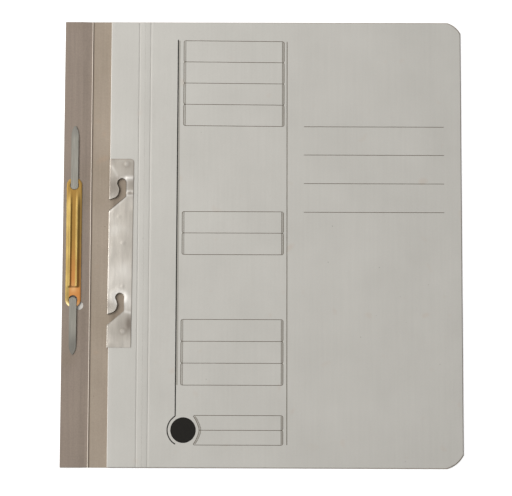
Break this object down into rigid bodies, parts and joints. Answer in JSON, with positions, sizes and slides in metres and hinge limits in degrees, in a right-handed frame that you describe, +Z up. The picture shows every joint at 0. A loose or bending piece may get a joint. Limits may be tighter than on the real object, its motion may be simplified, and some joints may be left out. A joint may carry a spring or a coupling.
{
  "type": "cardboard fastener folder",
  "caption": "Closed card folder with a metal hook plate, open hook slots and a fold-out flap carrying a metal prong fastener with a pressed compressor bar.",
  "frame": {"origin": "middle of the folder's footprint on the table, with the folder closed and the fastener flap folded out", "axes": "+X right across the folder from the fastener flap to the open edge, +Y up the sheet, +Z up off the table out of the printed front"},
  "size_m": [0.2784, 0.312, 0.0027],
  "materials": {
    "grey_card": "uncoated grey recycled card, matt",
    "brown_card": "uncoated brown-grey inner face of the card, matt",
    "backing_paper": "pale gummed paper, matt",
    "glue": "dried paper glue",
    "tinplate": "thin bright tinplate, slightly dented",
    "grey_enamel": "grey-green enamelled soft steel strip",
    "brassed_steel": "brass-plated pressed steel, satin"
  },
  "bodies": {
    "back": {"back_cover": "grey_card", "hook_strip_upper": "grey_card", "hook_strip_middle": "grey_card", "hook_strip_lower": "grey_card", "tongue_glue": "glue", "hook_plate": "tinplate"},
    "spine": {"spine_strip": "grey_card"},
    "cover": {"front_cover": "grey_card"},
    "hinge_strip": {"hinge_strip": "brown_card"},
    "flap": {"fastener_flap": "brown_card", "backing_strip": "backing_paper", "fastener_base": "grey_enamel"},
    "prong_upper": {"prong_upper": "grey_enamel"},
    "prong_lower": {"prong_lower": "grey_enamel"},
    "bar": {"compressor_bar": "brassed_steel"}
  },
  "joints": [
    {"name": "spine_fold", "type": "hinge", "parent": "back", "child": "spine", "pos_m": [-0.08675, 0, 0.00182], "axis": [0, -1, 0], "range_deg": [0, 90]},
    {"name": "cover_fold", "type": "hinge", "parent": "spine", "child": "cover", "pos_m": [-0.07875, 0, 0.00182], "axis": [0, -1, 0], "range_deg": [0, 90]},
    {"name": "hinge_strip_fold", "type": "hinge", "parent": "back", "child": "hinge_strip", "pos_m": [-0.08675, 0, 0], "axis": [0, -1, 0], "range_deg": [0, 170]},
    {"name": "flap_fold", "type": "hinge", "parent": "hinge_strip", "child": "flap", "pos_m": [-0.11995, 0, 0.00062], "axis": [0, -1, 0], "range_deg": [-160, 0]},
    {"name": "prong_upper_bend", "type": "hinge", "parent": "flap", "child": "prong_upper", "pos_m": [-0.13155, 0.03855, 0.0015], "axis": [1, 0, 0], "range_deg": [0, 90]},
    {"name": "prong_lower_bend", "type": "hinge", "parent": "flap", "child": "prong_lower", "pos_m": [-0.13155, -0.03895, 0.0015], "axis": [-1, 0, 0], "range_deg": [0, 90]},
    {"name": "bar_lift", "type": "slide", "parent": "flap", "child": "bar", "axis": [0, 0, 1], "range_m": [0, 0.00393]}
  ],
  "couplings": [
    {"joint": "prong_lower_bend", "follows": "prong_upper_bend", "ratio": 1},
    {"joint": "bar_lift", "follows": "prong_upper_bend", "m_per_rad": 0.0025}
  ]
}
